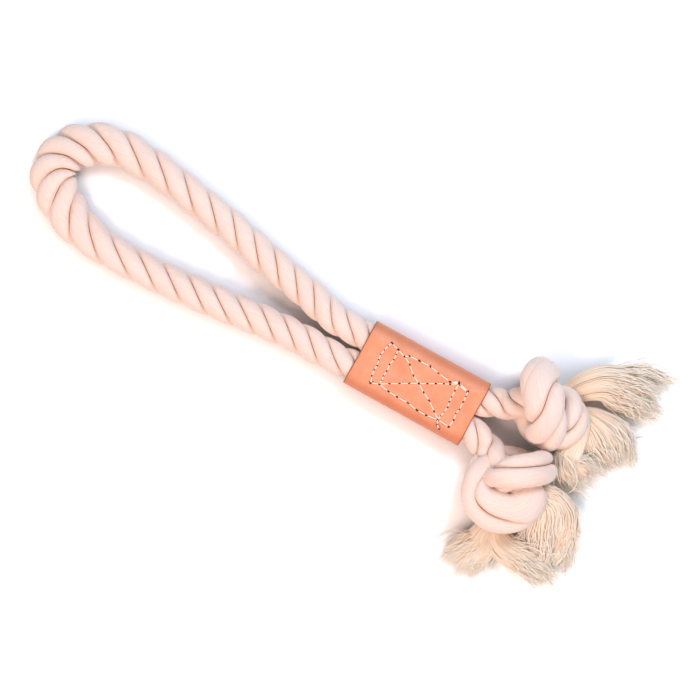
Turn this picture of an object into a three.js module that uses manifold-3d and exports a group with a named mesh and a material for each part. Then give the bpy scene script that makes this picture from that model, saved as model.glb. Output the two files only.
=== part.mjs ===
// Rope dog toy: one three-strand cotton rope folded into a handle loop. Both legs run through a sewn
// leather sleeve, and each end has an overhand knot and three combed tufts.
// Millimetres, Z up, lying on z = 0, with the handle towards -X and the tufts towards +X.
import * as THREE from 'three';
import { mergeVertices } from 'three/addons/utils/BufferGeometryUtils.js';
import Module from 'manifold-3d';

const wasm = await Module();
wasm.setup();

// Rope
const ropeDiameter = 18.4; // over the crowns of the strands
const layLength = 44; // one full turn of a strand round the rope, right-handed
const strandGap = 0.6; // between two strands of the rope
const seatGap = 0.3; // between any two pieces that touch
const strandStep = 4.4; // distance between two sections of a strand
const strandCount = 3;
const crownOffsetShare = 0.325; // how far a strand's crown is centred from the axis, by the rope's radius
const crownPoints = 6; // points over one crown
const flattenedShare = 0.02; // how far the rope sinks flat where it lies, by its radius
const squeezeShare = 0.935; // diameter inside the sleeve, by the free diameter

// The bend of the handle, where the lay opens and the rope spreads
const spreadWideShare = 0.42; // added width
const spreadHighShare = 0.04; // lost height
const spreadReachShare = 2; // reach along the rope to each side, by the rope's diameter

// Leather sleeve, a strip bent round both legs with its edges meeting underneath
const sleeveLength = 73;
const leatherThickness = 2.1;
const sleeveEdgeRadius = 9.5; // outer radius of the long edges
const seamGap = 0.8; // between the two edges of the strip
const edgeSegments = 6;

// Sewing on top: a box, a bar near each of its ends and a cross between the bars
const threadDiameter = 0.9;
const boxLength = 51;
const boxWidth = 23.4;
const boxShift = 1.4; // the box is sewn a little nearer to the knots
const barInset = 6;
const crossOverShare = 0.3; // how far the second cross run rides over the first, by the thread
const threadSides = 6;

// Knots
const pressedShare = 0.815; // distance of two passes in a knot, by the rope's diameter
const knotRadiusShare = 0.48; // radius of the pressed rope, by the rope's diameter
const knotStep = 3.8;
const knotHeightShare = 1.2; // middle of a knot over the table, by the rope's diameter
const knotCrownPoints = 5;
const ringsPerRun = 7; // sections of rope in each run that is joined to the knot
const coreShare = 0.6; // radius of the pressed middle, by the distance of two passes
const coreSides = 10;
const stubShare = 0.35; // rope between the sleeve and the part counted with the knot
const bendLimitShare = 0.75; // the inside of a bend stops at this share of the bend's radius

// Tufts
const tuftPoints = 12;
const tuftRings = 9;
const fluteShare = 0.12; // depth of the furrows between locks of yarn
const raggedShare = 0.35; // how unevenly a tuft ends, by its last half width
const raggedLevels = 4; // lengths that the locks of a tuft end at
const raggedStride = 5; // locks between one length and the next

// Routes of the rope. Shares of the rope's diameter: past the sleeve's mouth, to the side, and the
// height between lying on the table (0) and the height in the sleeve (1).
const handleShares = [
  [0.35, 0.5, 1], [1.12, 0.52, 0.45], [2.07, 0.74, 0.05], [3.1, 0.95, 0], [4.28, 1.2, 0],
  [5.47, 1.48, 0], [6.69, 1.68, 0], [7.85, 1.86, 0], [8.97, 1.92, 0], [9.6, 1.85, 0],
  [10.15, 1.64, 0], [10.55, 1.33, 0], [10.81, 0.95, 0], [10.89, 0.53, 0], [10.75, 0.13, 0],
  [10.44, -0.2, 0], [9.98, -0.53, 0], [9.4, -0.79, 0], [8.61, -0.96, 0], [7.8, -1.01, 0], [6.54, -0.97, 0],
  [5.36, -0.87, 0], [4.21, -0.76, 0], [3.07, -0.62, 0], [1.99, -0.53, 0.05], [1.1, -0.52, 0.45],
  [0.35, -0.5, 1],
];
// Each end: the knot's place past the sleeve's mouth and to the side, the way the rope runs into it, the
// rope before it as on the handle, the overhand knot, and its tufts. The knot's route goes ahead, to the
// left and up by the distance of two pressed passes. A tuft's rows give its place ahead of the knot's
// middle, its place to the left, its height over the table, its half width and its half height.
const ends = [
  {
    name: 'upper', side: 1, placeShares: [1.9, 1.3], heading: 21,
    tailShares: [[0.42, 0.79, 2.2]],
    knotShares: [
      [-0.93, 0.1, -0.15], [-0.44, 0.12, -0.15], [0.14, 0.28, -0.15], [0.58, 0.24, -0.1],
      [0.84, -0.1, 0.05], [0.88, -0.62, 0.05], [0.6, -1.05, -0.2], [0, -1.05, -0.65], [-0.67, -0.7, -0.85],
      [-0.88, 0.03, -0.85], [-0.78, 0.8, -0.65], [-0.6, 1.2, 0], [-0.56, 0.98, 0.75], [-0.44, 0.5, 1.1],
      [-0.24, -0.05, 1.12], [-0.18, -0.52, 0.85], [-0.08, -0.8, 0.3], [0.12, -0.8, -0.3],
      [0.46, -0.55, -0.75], [1.02, -0.26, -0.8],
    ],
    tuftShares: [
      [[0.3, 0.5, 0.7, 0.3, 0.3], [0.5, 0.9, 0.8, 0.4, 0.4], [0.75, 1.2, 0.85, 0.46, 0.46],
        [1.08, 1.44, 0.78, 0.55, 0.5], [1.55, 1.56, 0.64, 0.7, 0.5], [2.16, 1.73, 0.5, 0.85, 0.42],
        [2.84, 1.79, 0.34, 0.8, 0.28]],
      [[0.87, 0.16, 0.6, 0.3, 0.3], [1.4, 0.05, 0.6, 0.5, 0.4], [1.9, -0.1, 0.52, 0.75, 0.44],
        [2.4, -0.35, 0.42, 0.9, 0.4], [2.85, -0.65, 0.3, 0.9, 0.26]],
      [[0.62, 0.42, 0.9, 0.26, 0.26], [0.92, 0.2, 1, 0.28, 0.28], [1.13, -0.2, 0.96, 0.28, 0.28],
        [1.22, -0.65, 0.78, 0.3, 0.3], [1.35, -1.05, 0.6, 0.4, 0.34], [1.75, -1.4, 0.42, 0.55, 0.34],
        [2.3, -1.6, 0.3, 0.6, 0.26]],
    ],
  },
  {
    name: 'lower', side: -1, placeShares: [2.04, -1.44], heading: -61,
    tailShares: [[0.55, -0.72, 2]],
    knotShares: [
      [-0.95, -0.5, -0.15], [-0.45, -0.15, -0.15], [0.05, 0.22, -0.1], [0.42, 0.42, 0.08], [0.68, 0.32, 0.3],
      [0.82, -0.05, 0.5], [0.75, -0.55, 0.5], [0.4, -1.12, 0.42], [-0.2, -1.27, 0.2], [-0.75, -1.07, -0.2],
      [-1, -0.5, -0.7], [-1, 0.1, -0.85], [-0.9, 0.75, -0.65], [-0.85, 1.12, 0], [-0.74, 0.9, 0.75],
      [-0.65, 0.3, 1.08], [-0.56, -0.25, 0.9], [-0.33, -0.5, 0.3], [0, -0.4, -0.4],
      [0.45, -0.15, -0.8], [1.1, 0, -0.8],
    ],
    tuftShares: [
      [[0.55, -0.4, 0.65, 0.3, 0.3], [0.85, 0.05, 0.8, 0.36, 0.36], [1.26, 0.28, 0.86, 0.42, 0.42],
        [1.74, 0.12, 0.76, 0.48, 0.46], [2.1, -0.35, 0.6, 0.52, 0.44], [2.38, -0.95, 0.4, 0.52, 0.36],
        [2.5, -1.5, 0.28, 0.5, 0.24]],
      [[0.33, -0.84, 0.49, 0.27, 0.27], [0.27, -1.33, 0.49, 0.35, 0.32], [0.65, -1.63, 0.43, 0.44, 0.35],
        [1.47, -1.68, 0.36, 0.56, 0.34], [2.43, -1.88, 0.24, 0.56, 0.22]],
      [[0.27, -0.9, 0.49, 0.27, 0.27], [0.03, -1.44, 0.46, 0.38, 0.34], [0.03, -1.88, 0.4, 0.56, 0.36],
        [-0.14, -2.42, 0.32, 0.74, 0.3], [-0.19, -2.85, 0.22, 0.74, 0.2]],
    ],
  },
];

// Sizes that follow
const ropeRadius = ropeDiameter / 2;
const squeezedRadius = ropeRadius * squeezeShare;
const lyingHeight = ropeRadius * (1 - flattenedShare);
const sleeveHeight = 2 * (leatherThickness + seatGap + squeezedRadius);
const sleeveWidth = 2 * (leatherThickness + seatGap + 2 * squeezedRadius + seatGap / 2);
const legOffset = squeezedRadius + seatGap / 2;
const mouth = sleeveLength / 2;
const liftInSleeve = sleeveHeight / 2 - lyingHeight;
const handleReachShare = Math.max(...handleShares.map(([past]) => past));
const knotUnit = ropeDiameter * pressedShare;
const knotHeight = ropeDiameter * knotHeightShare;
const up = new THREE.Vector3(0, 0, 1);

const cotton = new THREE.MeshStandardMaterial({ color: 0xf6dfd0, roughness: 0.95, metalness: 0 });
const cottonYarn = new THREE.MeshStandardMaterial({ color: 0xf2d6bb, roughness: 0.95, metalness: 0 });
const leather = new THREE.MeshStandardMaterial({ color: 0xe79a70, roughness: 0.6, metalness: 0 });
const waxedThread = new THREE.MeshStandardMaterial({ color: 0xfbeee2, roughness: 0.7, metalness: 0 });

// A point of the rope: along x, to the side, and its height by the share of the lift in the sleeve
function ropePoint(x, y, lift) {
  return new THREE.Vector3(x, y, lyingHeight + lift * liftInSleeve);
}

// Evenly spaced sections along a route, each with its place, tangent, two cross directions that are
// carried along without turning, the bend vector towards the centre, and the distance along the route
function sectionsAlong(route, from, to, step) {
  const total = route.getLength();
  const count = Math.max(2, Math.round((to - from) / step));
  const sections = [];
  for (let i = 0; i <= count; i += 1) {
    const distance = from + ((to - from) * i) / count;
    const at = THREE.MathUtils.clamp(distance / total, 0, 1);
    sections.push({ distance, place: route.getPointAt(at), tangent: route.getTangentAt(at) });
  }
  let across = up.clone();
  sections.forEach((section, i) => {
    across.addScaledVector(section.tangent, -across.dot(section.tangent)).normalize();
    section.across = across.clone();
    section.aside = new THREE.Vector3().crossVectors(section.tangent, across);
    const before = sections[Math.max(0, i - 1)];
    const after = sections[Math.min(count, i + 1)];
    section.bend = after.tangent.clone().sub(before.tangent);
    section.bend.divideScalar(after.distance - before.distance);
    across = across.clone();
  });
  return sections;
}

// The outline points set round one section, turned by an angle and widened. The inside of a tight
// bend is pressed flat before it passes the bend's centre, and nothing goes below the table.
function ringAt(section, outline, turn, wide = 1, high = 1, grown = 0) {
  const bendSquared = section.bend.lengthSq();
  const limit = bendLimitShare + grown * Math.sqrt(bendSquared);
  return outline.map(([x, y]) => {
    const alongUp = (x * Math.cos(turn) - y * Math.sin(turn)) * high;
    const alongSide = (x * Math.sin(turn) + y * Math.cos(turn)) * wide;
    const offset = section.across.clone().multiplyScalar(alongUp);
    offset.addScaledVector(section.aside, alongSide);
    const inward = offset.dot(section.bend);
    if (inward > limit) {
      offset.addScaledVector(section.bend, (limit - inward) / bendSquared);
    }
    const point = section.place.clone().add(offset);
    point.z = Math.max(point.z, 0);
    return point;
  });
}

// A closed surface through rings of equal count, with a fan over each end. The diagonal of a face
// follows the lay except in the columns named in straight.
function loft(rings, straight = []) {
  const count = rings[0].length;
  const positions = rings.flat().flatMap((point) => [point.x, point.y, point.z]);
  const indices = [];
  for (let ring = 0; ring < rings.length - 1; ring += 1) {
    for (let i = 0; i < count; i += 1) {
      const next = (i + 1) % count;
      const [a, b] = [ring * count + i, ring * count + next];
      const [c, d] = [b + count, a + count];
      indices.push(...(straight.includes(i) ? [a, b, c, a, c, d] : [a, b, d, b, c, d]));
    }
  }
  [[0, 1], [rings.length - 1, 0]].forEach(([ring, backward]) => {
    const centre = rings[ring].reduce((sum, point) => sum.add(point), new THREE.Vector3());
    centre.divideScalar(count);
    const middle = positions.length / 3;
    positions.push(centre.x, centre.y, centre.z);
    for (let i = 0; i < count; i += 1) {
      const [a, b] = [ring * count + i, ring * count + ((i + 1) % count)];
      indices.push(...(backward ? [b, a, middle] : [a, b, middle]));
    }
  });
  const geometry = new THREE.BufferGeometry();
  geometry.setAttribute('position', new THREE.Float32BufferAttribute(positions, 3));
  geometry.setIndex(indices);
  return geometry;
}

// Both end rings moved outwards along the route
function moveEnds(rings, sections, by) {
  const last = rings.length - 1;
  rings[0].forEach((point) => point.addScaledVector(sections[0].tangent, -by));
  rings[last].forEach((point) => point.addScaledVector(sections[last].tangent, by));
}

function solid(geometry) {
  const bare = geometry.clone();
  bare.deleteAttribute('normal');
  bare.deleteAttribute('uv');
  const merged = mergeVertices(bare, seatGap / 1000);
  return new wasm.Manifold(new wasm.Mesh({
    numProp: 3,
    vertProperties: new Float32Array(merged.attributes.position.array),
    triVerts: new Uint32Array(merged.index.array),
  }));
}

// The largest body of a solid, as a geometry, without the slivers that cuts leave
function largestBody(shape) {
  const bodies = shape.simplify(seatGap / 20).decompose();
  bodies.sort((a, b) => b.volume() - a.volume());
  const mesh = bodies[0].getMesh();
  const geometry = new THREE.BufferGeometry();
  geometry.setAttribute('position', new THREE.BufferAttribute(new Float32Array(mesh.vertProperties), 3));
  geometry.setIndex(new THREE.BufferAttribute(new Uint32Array(mesh.triVerts), 1));
  return geometry;
}

function piece(name, geometry, material) {
  geometry.computeVertexNormals();
  const mesh = new THREE.Mesh(geometry, material);
  mesh.name = name;
  return mesh;
}

// One strand's section: a round crown outside and two flat sides that meet near the rope's axis
function strandOutline(radius) {
  const half = Math.PI / strandCount;
  const offset = radius * crownOffsetShare;
  const crownRadius = radius - offset;
  const outline = [];
  for (let i = 0; i < crownPoints; i += 1) {
    const angle = ((2 * i) / (crownPoints - 1) - 1) * half;
    const reach = offset * Math.cos(angle) + Math.sqrt(crownRadius ** 2 - (offset * Math.sin(angle)) ** 2);
    const side = i === 0 ? 1 : Number(i === crownPoints - 1) * -1;
    outline.push([
      reach * Math.cos(angle) + (Math.abs(side) * Math.sin(half) * strandGap) / 2,
      reach * Math.sin(angle) + (side * Math.cos(half) * strandGap) / 2,
    ]);
  }
  outline.push([strandGap / 2 / Math.sin(half), 0]);
  return outline;
}

// The whole rope's section, with the crowns of the strands pressed together
function laidOutline(radius) {
  const half = Math.PI / strandCount;
  const offset = radius * crownOffsetShare;
  const crownRadius = radius - offset;
  const outline = [];
  for (let strand = 0; strand < strandCount; strand += 1) {
    for (let i = 0; i < knotCrownPoints; i += 1) {
      const angle = ((2 * i) / knotCrownPoints - 1) * half;
      const reach = offset * Math.cos(angle) + Math.sqrt(crownRadius ** 2 - (offset * Math.sin(angle)) ** 2);
      const around = angle + 2 * half * strand;
      outline.push([reach * Math.cos(around), reach * Math.sin(around)]);
    }
  }
  return outline;
}

function smoothRoute(points) {
  const route = new THREE.CatmullRomCurve3(points, false, 'centripetal');
  route.arcLengthDivisions = 100 * points.length;
  return route;
}

// The rope from just past the sleeve on one end, round the handle, to just past it on the other
const stub = ropeDiameter * stubShare;
const handleRoute = smoothRoute([
  ropePoint(mouth + stub, legOffset, 1),
  ropePoint(mouth / 2, legOffset, 1),
  ropePoint(0, legOffset, 1),
  ropePoint(-mouth, legOffset, 1),
  ...handleShares.map(([past, side, lift]) => ropePoint(-mouth - past * ropeDiameter,
    side * ropeDiameter, lift)),
  ropePoint(-mouth, -legOffset, 1),
  ropePoint(0, -legOffset, 1),
  ropePoint(mouth / 2, -legOffset, 1),
  ropePoint(mouth + stub, -legOffset, 1),
]);
const handleLength = handleRoute.getLength();
const bendStart = stub + sleeveLength;

// Radius along the rope: squeezed in the sleeve, free outside it
function radiusShareAt(distance) {
  const outside = Math.min(distance, handleLength - distance) - bendStart;
  return THREE.MathUtils.lerp(squeezeShare, 1, THREE.MathUtils.smoothstep(outside, 0, ropeDiameter * 2));
}

// How far the bend of the handle spreads the rope, from 0 to 1
function spreadAt(section) {
  const tip = -mouth - ropeDiameter * handleReachShare;
  const away = (section.place.x - tip) / (ropeDiameter * spreadReachShare);
  return Math.exp(-(away ** 2));
}

function ropeStrand(index) {
  const outline = strandOutline(ropeRadius);
  const rings = sectionsAlong(handleRoute, 0, handleLength, strandStep).map((section) => {
    const share = radiusShareAt(section.distance);
    const spread = spreadAt(section);
    const turn = 2 * Math.PI * (section.distance / layLength + index / strandCount);
    return ringAt(section, outline, turn, share * (1 + spread * spreadWideShare),
      share * (1 - spread * spreadHighShare));
  });
  return loft(rings, [crownPoints]);
}

// One end of the rope with its knot, as wide as asked beyond the pressed rope. It starts at a flat face
// beside the rope that comes out of the sleeve.
function knotSolid(end, grown = 0) {
  const heading = THREE.MathUtils.degToRad(end.heading);
  const middle = knotMiddle(end);
  const ahead = new THREE.Vector3(Math.cos(heading), Math.sin(heading), 0);
  const left = new THREE.Vector3(-Math.sin(heading), Math.cos(heading), 0);
  const start = mouth + stub + seatGap;
  const points = [
    ...[0, 1, 2].map((quarters) => ropePoint(start + (stub * quarters) / 4, end.side * legOffset, 1)),
    ...end.tailShares.map(([past, side, lift]) => ropePoint(mouth + stub + past * ropeDiameter,
      side * ropeDiameter, lift)),
    ...end.knotShares.map(([u, v, w]) => middle.clone().addScaledVector(ahead, u * knotUnit)
      .addScaledVector(left, v * knotUnit).addScaledVector(up, w * knotUnit)),
  ];
  const route = smoothRoute(points);
  const length = route.getLength();
  const outline = laidOutline(ropeRadius);
  const sections = sectionsAlong(route, 0, length, knotStep);
  const rings = sections.map((section) => {
    const share = THREE.MathUtils.lerp(squeezeShare, 2 * knotRadiusShare,
      THREE.MathUtils.smoothstep(section.distance, 0, ropeDiameter)) + grown / ropeRadius;
    return ringAt(section, outline, (2 * Math.PI * section.distance) / layLength, share, share, grown);
  });
  moveEnds(rings, sections, grown);
  const core = new THREE.SphereGeometry(knotUnit * coreShare, coreSides, coreSides / 2);
  core.translate(middle.x, middle.y, middle.z);
  let knot = solid(core);
  for (let first = 0; first < rings.length - 1; first += ringsPerRun) {
    knot = knot.add(solid(loft(rings.slice(first, first + ringsPerRun + 1))));
  }
  return knot.trimByPlane([1, 0, 0], start - grown);
}

function knotMiddle(end) {
  return new THREE.Vector3(mouth + end.placeShares[0] * ropeDiameter, end.placeShares[1] * ropeDiameter,
    knotHeight);
}

// A combed tuft: a flat fluted bundle that follows its route, widens, and ends unevenly
function tuftSolid(end, rows, grown = 0) {
  const middle = knotMiddle(end);
  const points = rows.map(([u, v, w]) => new THREE.Vector3(middle.x + u * ropeDiameter,
    middle.y + v * ropeDiameter, w * ropeDiameter));
  const route = smoothRoute(points);
  const length = route.getLength();
  const sections = sectionsAlong(route, 0, length, length / (tuftRings - 1));
  const rings = sections.map((section, ringIndex) => {
    const at = (ringIndex / (sections.length - 1)) * (rows.length - 1);
    const row = Math.min(rows.length - 2, Math.floor(at));
    const wide = THREE.MathUtils.lerp(rows[row][3], rows[row + 1][3], at - row) * ropeDiameter + grown;
    const high = THREE.MathUtils.lerp(rows[row][4], rows[row + 1][4], at - row) * ropeDiameter + grown;
    const outline = Array.from({ length: tuftPoints }, (_, i) => {
      const angle = (2 * Math.PI * i) / tuftPoints;
      const flute = 1 - fluteShare * (i % 2);
      return [Math.cos(angle) * flute, Math.sin(angle) * flute];
    });
    const ring = ringAt(section, outline, 0, wide, high, grown);
    if (ringIndex === sections.length - 1) {
      ring.forEach((point, i) => {
        const pull = ((i * raggedStride) % raggedLevels) / (raggedLevels - 1) - 1;
        point.addScaledVector(section.tangent, pull * raggedShare * (wide - grown));
      });
    }
    return ring;
  });
  moveEnds(rings, sections, 2 * grown);
  return solid(loft(rings));
}

// The strip's section: an outer rounded box and an inner one, open at the seam underneath
function sleeveGeometry() {
  const halfWidth = sleeveWidth / 2;
  const halfSeam = seamGap / 2;
  const innerRadius = sleeveEdgeRadius - leatherThickness;
  const left = -halfWidth + sleeveEdgeRadius;
  const right = halfWidth - sleeveEdgeRadius;
  const bottom = sleeveEdgeRadius;
  const top = sleeveHeight - sleeveEdgeRadius;
  const quarter = Math.PI / 2;
  const shape = new THREE.Shape();
  shape.moveTo(halfSeam, 0);
  shape.lineTo(right, 0);
  shape.absarc(right, bottom, sleeveEdgeRadius, -quarter, 0, false);
  shape.absarc(right, top, sleeveEdgeRadius, 0, quarter, false);
  shape.absarc(left, top, sleeveEdgeRadius, quarter, 2 * quarter, false);
  shape.absarc(left, bottom, sleeveEdgeRadius, 2 * quarter, 3 * quarter, false);
  shape.lineTo(-halfSeam, 0);
  shape.lineTo(-halfSeam, leatherThickness);
  shape.absarc(left, bottom, innerRadius, 3 * quarter, 2 * quarter, true);
  shape.absarc(left, top, innerRadius, 2 * quarter, quarter, true);
  shape.absarc(right, top, innerRadius, quarter, 0, true);
  shape.absarc(right, bottom, innerRadius, 0, -quarter, true);
  shape.lineTo(halfSeam, leatherThickness);
  const geometry = new THREE.ExtrudeGeometry(shape, {
    depth: sleeveLength, bevelEnabled: false, curveSegments: edgeSegments,
  });
  geometry.translate(0, 0, -mouth);
  geometry.rotateX(quarter);
  geometry.rotateZ(quarter);
  return geometry;
}

// The thread on top, as straight runs joined at their corners
function stitchingGeometry() {
  const radius = threadDiameter / 2;
  const height = sleeveHeight + seatGap + radius;
  const [back, front] = [boxShift - boxLength / 2, boxShift + boxLength / 2];
  const [backBar, frontBar] = [back + barInset, front - barInset];
  const side = boxWidth / 2;
  const runs = [
    [back, side, front, side], [back, -side, front, -side],
    [back, -side, back, side], [front, -side, front, side],
    [backBar, -side, backBar, side], [frontBar, -side, frontBar, side],
    [backBar, -side, frontBar, side], [backBar, side, frontBar, -side, crossOverShare],
  ];
  const solids = runs.map(([x0, y0, x1, y1, over = 0]) => {
    const length = Math.hypot(x1 - x0, y1 - y0) + threadDiameter;
    const run = new THREE.CylinderGeometry(radius, radius, length, threadSides);
    run.rotateZ(Math.PI / 2);
    run.rotateZ(Math.atan2(y1 - y0, x1 - x0));
    run.translate((x0 + x1) / 2, (y0 + y1) / 2, height + over * threadDiameter);
    return solid(run);
  });
  return largestBody(solids.reduce((sum, run) => sum.add(run)));
}

const toy = new THREE.Group();
'abc'.split('').forEach((letter, index) => {
  toy.add(piece(`rope_strand_${letter}`, ropeStrand(index), cotton));
});

// Each soft piece is cut back from the grown shapes of those before it, so that a gap stays between
let taken = null;
ends.forEach((end) => {
  const knot = taken ? knotSolid(end).subtract(taken) : knotSolid(end);
  toy.add(piece(`${end.name}_knot`, largestBody(knot), cotton));
  const grown = knotSolid(end, seatGap);
  taken = taken ? taken.add(grown) : grown;
});
ends.forEach((end) => {
  end.tuftShares.forEach((rows, index) => {
    const tuft = tuftSolid(end, rows).subtract(taken);
    toy.add(piece(`${end.name}_tuft_${index + 1}`, largestBody(tuft), cottonYarn));
    taken = taken.add(tuftSolid(end, rows, 2 * seatGap));
  });
});
toy.add(piece('leather_sleeve', sleeveGeometry(), leather));
toy.add(piece('sleeve_stitching', stitchingGeometry(), waxedThread));

// The origin is on the table, under the middle of the toy's outline
const outer = new THREE.Box3().setFromObject(toy);
const centre = outer.getCenter(new THREE.Vector3());
toy.position.set(-centre.x, -centre.y, -outer.min.z);

export default toy;
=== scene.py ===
import math

import bpy
import numpy as np
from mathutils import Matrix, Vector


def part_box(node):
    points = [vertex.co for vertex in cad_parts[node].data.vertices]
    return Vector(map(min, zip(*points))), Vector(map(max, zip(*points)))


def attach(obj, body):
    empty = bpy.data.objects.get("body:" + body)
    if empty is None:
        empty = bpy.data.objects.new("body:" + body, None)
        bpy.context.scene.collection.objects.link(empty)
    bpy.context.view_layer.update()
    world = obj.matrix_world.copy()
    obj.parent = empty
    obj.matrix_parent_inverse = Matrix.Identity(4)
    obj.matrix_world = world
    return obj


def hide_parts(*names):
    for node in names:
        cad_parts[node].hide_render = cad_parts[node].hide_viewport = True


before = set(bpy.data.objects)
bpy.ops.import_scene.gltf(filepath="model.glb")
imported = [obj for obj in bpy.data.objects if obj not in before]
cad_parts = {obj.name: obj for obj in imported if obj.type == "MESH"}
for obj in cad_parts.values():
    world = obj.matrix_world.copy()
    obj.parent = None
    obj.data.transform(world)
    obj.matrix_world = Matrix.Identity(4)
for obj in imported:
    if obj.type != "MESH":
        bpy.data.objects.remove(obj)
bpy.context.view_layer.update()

mm = 0.001
sleeveLow, sleeveHigh = [np.array(corner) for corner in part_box("leather_sleeve")]
sleeveMiddle = (sleeveLow + sleeveHigh) / 2 * [1, 1, 0]  # on the table, under the sleeve's middle
photoTurn = math.radians(28.9)  # the toy's length, turned from the picture's rows
imageRight = np.array([math.cos(photoTurn), math.sin(photoTurn), 0])
imageUp = np.array([-math.sin(photoTurn), math.cos(photoTurn), 0])

rope = {
    "diameter": 18.4 * mm,
    "sleeveLength": 73 * mm,
    "leatherThickness": 2.1 * mm,
    "seatGap": 0.3 * mm,
    "flattenedShare": 0.02,  # sunk flat where it lies, by the radius
    "squeezeShare": 0.935,  # diameter inside the sleeve, by the free one
    "nominalDiameter": 19 * mm,
}
diameter = rope["diameter"]
radius = diameter / 2
squeezed = radius * rope["squeezeShare"]
mouth = rope["sleeveLength"] / 2
lyingHeight = radius * (1 - rope["flattenedShare"])
sleeveHeight = 2 * (rope["leatherThickness"] + rope["seatGap"] + squeezed)
liftInSleeve = sleeveHeight / 2 - lyingHeight
legOffset = squeezed + rope["seatGap"] / 2


# An sRGB hex colour as linear red, green, blue and alpha
def linearColour(hexText):
    channels = [int(hexText[i:i + 2], 16) / 255 for i in (1, 3, 5)]
    return tuple(c / 12.92 if c <= 0.04045 else ((c + 0.055) / 1.055) ** 2.4 for c in channels) + (1.0,)


# A value that rises smoothly from 0 at low to 1 at high: 3 t^2 - 2 t^3
def smoothRise(value, low, high):
    t = np.clip((value - low) / (high - low), 0, 1)
    return t * t * (3 - 2 * t)


# Vectors at a length of one
def unit(vectors, tiny=0):
    return vectors / (np.linalg.norm(vectors, axis=-1, keepdims=True) + tiny)


# Angles round a circle, in even steps
def roundAngles(count):
    return np.linspace(0, 2 * math.pi, count, endpoint=False)


# Distance along a path to each of its points
def distanceAlong(path):
    return np.r_[0, np.cumsum(np.linalg.norm(np.diff(path, axis=0), axis=1))]


# A centripetal Catmull-Rom curve through points, in even steps. On each span the point is a blend of
# blends of its four neighbours, weighted by the square roots of the distances between them.
def smoothRoute(points, step):
    points = np.array(points, float)
    p = np.vstack([2 * points[0] - points[1], points, 2 * points[-1] - points[-2]])
    knots = np.r_[0, np.cumsum(np.sqrt(np.linalg.norm(np.diff(p, axis=0), axis=1)))]
    steps = 24
    span = np.repeat(np.arange(1, len(p) - 2), steps)
    share = np.tile(np.arange(steps) / steps, len(p) - 3)
    t = (knots[span] + share * (knots[span + 1] - knots[span]))[:, None]

    def blend(a, b, ta, tb):
        return ((tb - t) * a + (t - ta) * b) / (tb - ta)

    t0, t1, t2, t3 = [knots[span + i][:, None] for i in (-1, 0, 1, 2)]
    p0, p1, p2, p3 = [p[span + i] for i in (-1, 0, 1, 2)]
    a1, a2, a3 = blend(p0, p1, t0, t1), blend(p1, p2, t1, t2), blend(p2, p3, t2, t3)
    curve = np.vstack([blend(blend(a1, a2, t0, t2), blend(a2, a3, t1, t3), t1, t2), points[-1:]])
    return evenly(curve, step)


# The same path with its points a steady distance apart
def evenly(curve, step):
    along = distanceAlong(curve)
    wanted = np.linspace(0, along[-1], max(2, int(round(along[-1] / step)) + 1))
    return np.stack([np.interp(wanted, along, curve[:, axis]) for axis in range(3)], 1)


# A path eased by taking each point towards the mean of its neighbours, a number of times
def eased(path, rounds):
    path = path.copy()
    for _ in range(rounds):
        path[1:-1] = (path[:-2] + 2 * path[1:-1] + path[2:]) / 4
    return path


# Directions along a path: its tangent, a cross direction carried along without twist from straight up,
# and the direction square to both. bend is how fast the tangent turns, towards the bend's centre.
def carriedFrames(path):
    along = distanceAlong(path)
    tangent = unit(np.gradient(path, along, axis=0))
    bend = np.gradient(tangent, along, axis=0)
    across = np.zeros_like(tangent)
    carried = np.array([0.0, 0.0, 1.0])
    for i, direction in enumerate(tangent):
        carried = carried - direction * carried.dot(direction)
        carried /= np.linalg.norm(carried)
        across[i] = carried
    return along, tangent, across, np.cross(tangent, across), bend


# A new object with its data, in the scene
def addObject(name, data):
    added = bpy.data.objects.new(name, data)
    bpy.context.collection.objects.link(added)
    return added


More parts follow.
